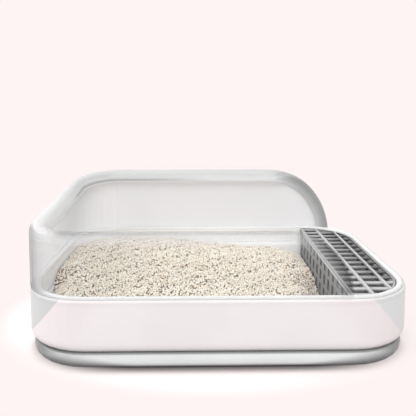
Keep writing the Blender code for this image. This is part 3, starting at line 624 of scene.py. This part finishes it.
def surround_zones(tree):
    """All zones of the surround by name, most of them masks of painted light and shade."""
    place = axes(tree)
    x, y, z = place
    low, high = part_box("surround")
    drop = crest_drop(tree, y, z)
    back = rising(tree, y, BACK_FADE)
    rim = curved_end(tree, place, (high.x, high.z), BACK_END_RADIUS, BACK_END_START, BACK_END_FADE)
    front_end = (FRONT_END_X, high.z - CREST_RISE)
    wing = curved_end(tree, place, front_end, FRONT_END_RADIUS, FRONT_END_START, FRONT_END_FADE)
    lip = product(tree, falling(tree, drop, LIP_FADE), combine(tree, "SUBTRACT", 1.0, wing))
    above_foot = rising(tree, z, (low.z + WING_FOOT_FADE[0], low.z + WING_FOOT_FADE[1]))
    brow = front_brow(tree, place, drop)
    edge = left_edge(tree, place, low)
    below_lip = combine(tree, "SUBTRACT", 1.0, lip)
    pool = product(tree, rising(tree, x, POOL_WEST_FADE), rising(tree, y, POOL_BACK_FADE), below_lip)
    return {
        "back": back,
        "left": rising(tree, x, (LEFT_START, low.x)),
        "lip": lip,
        "brow": brow,
        "line": back_line(tree, place, drop),
        "edge": edge,
        "rim": rim,
        "wing": product(tree, wing, above_foot),
        # pale: painted light on the back left corner and on the wall just under the crest; crown:
        # painted shade on the back lip's top
        "pale": combine(tree, "MAXIMUM", pool, span(tree, drop, *SHELTER_SPAN)),
        "crown": product(tree, falling(tree, drop, CROWN_FADE), back),
        "dark": combine(tree, "MAXIMUM", brow, edge),
    }


def smoke_plastic():
    """Clear smoke plastic: thin at the front, milky along the lip, dense at the back and its ends, with
    painted shade at its curved ends, under its lips and on its front left edge, and painted light on
    its left end and back left corner.
    """
    made, tree, shader = new_material("smoke_plastic")
    place = place_socket(tree)
    drift = noise(tree, place, *SMOKE_PATCH)
    fine = noise(tree, place, *SMOKE_GRAIN)
    zones = surround_zones(tree)
    density = CLEAR_DENSITY
    for zone, more in ZONE_DENSITY.items():
        density = combine(tree, "ADD", density, product(tree, zones[zone], more))
    cloud = remap(tree, drift, DRIFT, SMOKE_CLOUD)
    tree.links.new(combine(tree, "ADD", density, cloud), shader.inputs["Alpha"])
    colour = ramp(tree, zones["back"], SMOKE_TONES)
    normal = relief(tree, fine, SMOKE_GRAIN_STRENGTH, SMOKE_GRAIN_DEPTH, rounded(tree, SKIN_ROUNDING))
    finish_surface(tree, shader, colour, remap(tree, drift, DRIFT, SMOKE_POLISH), normal)
    for zone, share, tone in ZONE_PAINTED_LIGHT_AND_SHADE:
        shade_colour(made, product(tree, zones[zone], share), tone)
    made.surface_render_method = "BLENDED"
    return made


def rubber():
    """Dark rubber with a matt grain."""
    made, tree, shader = new_material("pad_rubber")
    grains = noise(tree, place_socket(tree), *PAD_GRAIN)
    colour, roughness = ramp(tree, grains, PAD_TONES), remap(tree, grains, GRAINS, PAD_POLISH)
    finish_surface(tree, shader, colour, roughness, relief(tree, grains, *PAD_RELIEF))
    return made


def pellet_finish():
    """Pressed cream fibre: each pellet has its own tone, with dark specks, and painted shade in the
    chinks between.
    """
    made, tree, shader = new_material("litter_pellets")
    tone = add_node(tree, "ShaderNodeAttribute", attribute_name="tone").outputs["Fac"]
    specks = noise(tree, place_socket(tree), *SPECK_GRAIN)
    mixed = combine(tree, "ADD", product(tree, tone, TONE_WEIGHT), product(tree, specks, SPECK_WEIGHT))
    colour, roughness = ramp(tree, mixed, PELLET_TONES), remap(tree, specks, GRAINS, PELLET_POLISH)
    finish_surface(tree, shader, colour, roughness, relief(tree, specks, *PELLET_RELIEF))
    shader.inputs["Specular IOR Level"].default_value = PELLET_SPECULAR
    # Painted shade in the chinks, where ambient occlusion finds the pellets close together
    chinks = falling(tree, open_sky(tree, CHINK_REACH, only_local=True), CHINK_FADE, CHINK_SHADE_SHARE)
    shade_colour(made, chinks, CHINK_SHADE)
    return made


def dress_nodes():
    """Gives every node that stays its finish."""
    finishes = {
        "outer_shell": shell_finish(),
        "litter_pan": pan_finish(),
        "base_plinth": plinth_finish(),
        "divider": divider_finish(),
        "step_grid": grid_finish(),
        "surround": smoke_plastic(),
    }
    pads = rubber()
    for name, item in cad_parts.items():
        finish = pads if name.startswith("foot_pad") else finishes.get(name)
        if finish:
            item.data.materials.clear()
            item.data.materials.append(finish)


# Loose litter


def add_pellet(shape, tones, centre, along, length, radius, tone):
    """Adds one closed pellet, slightly tapered, to a bmesh."""
    across = along.orthogonal().normalized()
    upright = along.cross(across)
    rings = []
    for place, reach in ((-length / 2, radius), (length / 2, radius * PELLET_TAPER)):
        ring = []
        for side in range(PELLET_SIDES):
            angle = 2 * math.pi * side / PELLET_SIDES
            offset = across * math.cos(angle) + upright * math.sin(angle)
            vert = shape.verts.new(centre + along * place + offset * reach)
            vert[tones] = tone
            ring.append(vert)
        rings.append(ring)
    first, last = rings
    for side in range(PELLET_SIDES):
        after = (side + 1) % PELLET_SIDES
        shape.faces.new((first[side], first[after], last[after], last[side]))
    shape.faces.new(first[::-1])
    shape.faces.new(last)


def surface_at(tree, x, y, top):
    """The litter's surface below a place, or nothing where there is no litter."""
    place, normal, _, _ = tree.ray_cast(Vector((x, y, top)), Vector((0, 0, -1)))
    return (place, normal) if place and normal.z > STEEP else None


def pellet_fits(tree, x, y, angle, length, radius, top):
    """Whether all of a pellet that lies at an angle stays over the litter."""
    reach = length / 2 + PELLET_CLEARANCE
    side = radius + PELLET_CLEARANCE
    along = Vector((math.cos(angle), math.sin(angle)))
    across = Vector((-along.y, along.x))
    for step in (-1, 1):
        for turn in (-1, 1):
            spot = Vector((x, y)) + along * reach * step + across * side * turn
            if not surface_at(tree, spot.x, spot.y, top):
                return False
    return True


def lay_pellet(shape, tones, tree, dice, x, y, top):
    """Lays one pellet on the litter's surface at a place, where the surface is wide enough for it."""
    found = surface_at(tree, x, y, top)
    if not found:
        return
    place, normal = found
    length = PELLET_LENGTH * (1 + PELLET_LENGTH_SPREAD * dice.uniform(-1, 1))
    radius = PELLET_RADIUS * dice.uniform(*PELLET_RADIUS_RANGE)
    for _ in range(PLACE_TRIES):
        angle = dice.uniform(0, math.pi)
        if pellet_fits(tree, x, y, angle, length, radius, top):
            aim = Vector((math.cos(angle), math.sin(angle), dice.uniform(-PELLET_TILT, PELLET_TILT)))
            along = (aim - normal * aim.dot(normal) * PELLET_FLATNESS).normalized()
            lift = PELLET_RISE * dice.uniform(*PELLET_RISE_RANGE)
            tone = dice.random()
            # A share of pellets lies deeper and is painted dark, as shade in the gaps
            if tone < SHADED_PELLETS:
                lift, tone = lift - SHADED_DROP, SHADED_TONE
            add_pellet(shape, tones, place + Vector((0, 0, lift)), along, length, radius, tone)
            return


def sink_bed(shape, tones, bottom):
    """Gives the bed its tones, painted dark as shade between the pellets except on its steep sides, and
    lowers its top, to make room for the pellets.
    """
    for vert in shape.verts:
        beside = any(face.normal.z < STEEP for face in vert.link_faces)
        vert[tones] = EDGE_TONE if beside else BED_SHADE_TONE
        if vert.co.z > bottom + 4 * BED_SINK:
            vert.co.z -= BED_SINK


def make_litter(bed):
    """The bed with a loose top layer of pellets."""
    low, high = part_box("litter_bed")
    shape = bmesh.new()
    shape.from_mesh(bed.data)
    tree = BVHTree.FromBMesh(shape)
    tones = shape.verts.layers.float.new("tone")
    sink_bed(shape, tones, low.z)
    dice = random.Random(SEED)
    columns = int((high.x - low.x) / PELLET_PITCH)
    rows = int((high.y - low.y) / PELLET_PITCH)
    for row in range(rows + 1):
        for column in range(columns + 1):
            x = low.x + PELLET_PITCH * (column + dice.uniform(-PITCH_SCATTER, PITCH_SCATTER))
            y = low.y + PELLET_PITCH * (row + dice.uniform(-PITCH_SCATTER, PITCH_SCATTER))
            lay_pellet(shape, tones, tree, dice, x, y, high.z + PELLET_LENGTH)
    mesh = bpy.data.meshes.new("loose_litter")
    shape.to_mesh(mesh)
    shape.free()
    mesh.materials.clear()
    mesh.materials.append(pellet_finish())
    mesh.shade_smooth()
    mesh.set_sharp_from_angle(angle=math.radians(SHARP_ANGLE))
    litter = bpy.data.objects.new("loose_litter", mesh)
    bpy.context.scene.collection.objects.link(litter)
    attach(litter, "tray")
    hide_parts("litter_bed")


# Floor, light and camera


def seen_ray(tree):
    """1 on rays that show the backdrop to the eye, directly, mirrored or through clear plastic."""
    path = add_node(tree, "ShaderNodeLightPath").outputs
    indirect = combine(tree, "MAXIMUM", path["Is Glossy Ray"], path["Is Transmission Ray"])
    return combine(tree, "MAXIMUM", path["Is Camera Ray"], indirect)


def floor_finish():
    """A pale floor that fades to the backdrop's colour away from the object's foot, with a painted
    contact shadow around the foot.
    """
    made, tree, shader = new_material("floor")
    low, high = cad_box
    scale = (2 / (high.x - low.x), 2 / (high.y - low.y), 0)
    place = place_socket(tree)
    radii = add_node(tree, "ShaderNodeVectorMath", {0: place, 1: scale}, operation="MULTIPLY")
    away = rising(tree, vector_length(tree, radii.outputs["Vector"]), FLOOR_FADE)
    seen = seen_ray(tree)
    colour = mix_colour(tree, seen, (*FLOOR_BOUNCE, 1.0), FLOOR_COLOUR)
    tree.links.new(colour, shader.inputs["Base Color"])
    # Painted contact shadow: the floor darkens where the object covers its nearby sky
    contact_shadow = remap(tree, open_sky(tree, CONTACT_REACH), CONTACT_FADE, (CONTACT_SHADOW_SHARE, 0.0))
    shade_colour(made, contact_shadow, CONTACT_SHADOW_COLOUR)
    shader.inputs["Roughness"].default_value = FLOOR_ROUGHNESS
    shader.inputs["Specular IOR Level"].default_value = 0.0
    glow = add_node(tree, "ShaderNodeEmission", {"Color": (*BACKDROP, 1.0), "Strength": 1.0})
    layers = {0: product(tree, away, seen), 1: shader.outputs["BSDF"], 2: glow.outputs["Emission"]}
    mix = add_node(tree, "ShaderNodeMixShader", layers)
    tree.links.new(mix.outputs["Shader"], tree.nodes["Material Output"].inputs["Surface"])
    return made


def make_floor():
    """A wide floor under the object, which isn't part of it."""
    shape = bmesh.new()
    corners = ((-1, -1), (1, -1), (1, 1), (-1, 1))
    shape.faces.new([shape.verts.new((x * FLOOR_HALF, y * FLOOR_HALF, 0)) for x, y in corners])
    mesh = bpy.data.meshes.new("floor")
    shape.to_mesh(mesh)
    shape.free()
    mesh.materials.append(floor_finish())
    floor = bpy.data.objects.new("floor", mesh)
    bpy.context.scene.collection.objects.link(floor)


def make_world():
    """A plain sky that lights the object, behind which the eye sees the backdrop's colour."""
    world = bpy.data.worlds.new("studio")
    bpy.context.scene.world = world
    world.use_nodes = True
    tree = world.node_tree
    sky = tree.nodes["Background"]
    sky.inputs["Color"].default_value = (*SKY_COLOUR, 1.0)
    sky.inputs["Strength"].default_value = SKY_LEVEL
    backdrop = add_node(tree, "ShaderNodeBackground", {"Color": (*BACKDROP, 1.0), "Strength": 1.0})
    layers = {0: seen_ray(tree), 1: sky.outputs["Background"], 2: backdrop.outputs["Background"]}
    mix = add_node(tree, "ShaderNodeMixShader", layers)
    tree.links.new(mix.outputs["Shader"], tree.nodes["World Output"].inputs["Surface"])


def add_softbox(name, place, size, power):
    """A round area light that points at the object."""
    light = bpy.data.lights.new(name, "AREA")
    light.shape = "DISK"
    light.size = size
    light.energy = power
    item = bpy.data.objects.new(name, light)
    item.location = place
    item.rotation_euler = (Vector(SOFTBOX_AIM) - Vector(place)).to_track_quat("-Z", "Y").to_euler()
    bpy.context.scene.collection.objects.link(item)


def make_camera():
    """The camera of the photograph's viewing angle."""
    lens = bpy.data.cameras.new("camera")
    lens.sensor_width = SENSOR
    lens.lens = CAMERA_LENS
    lens.clip_start = CAMERA_NEAR
    camera = bpy.data.objects.new("camera", lens)
    camera.location = CAMERA_PLACE
    camera.rotation_euler = (math.pi / 2 - CAMERA_PITCH, 0, -CAMERA_YAW)
    bpy.context.scene.collection.objects.link(camera)
    bpy.context.scene.camera = camera


def build_scene():
    """Dresses the part, loosens its litter and sets the floor, the light and the camera."""
    dress_nodes()
    make_litter(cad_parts["litter_bed"])
    make_floor()
    make_world()
    for softbox in SOFTBOXES:
        add_softbox(*softbox)
    make_camera()
    bpy.context.scene.view_settings.view_transform = "Standard"
    bpy.context.scene.cycles.transparent_max_bounces = TRANSPARENT_BOUNCES


build_scene()
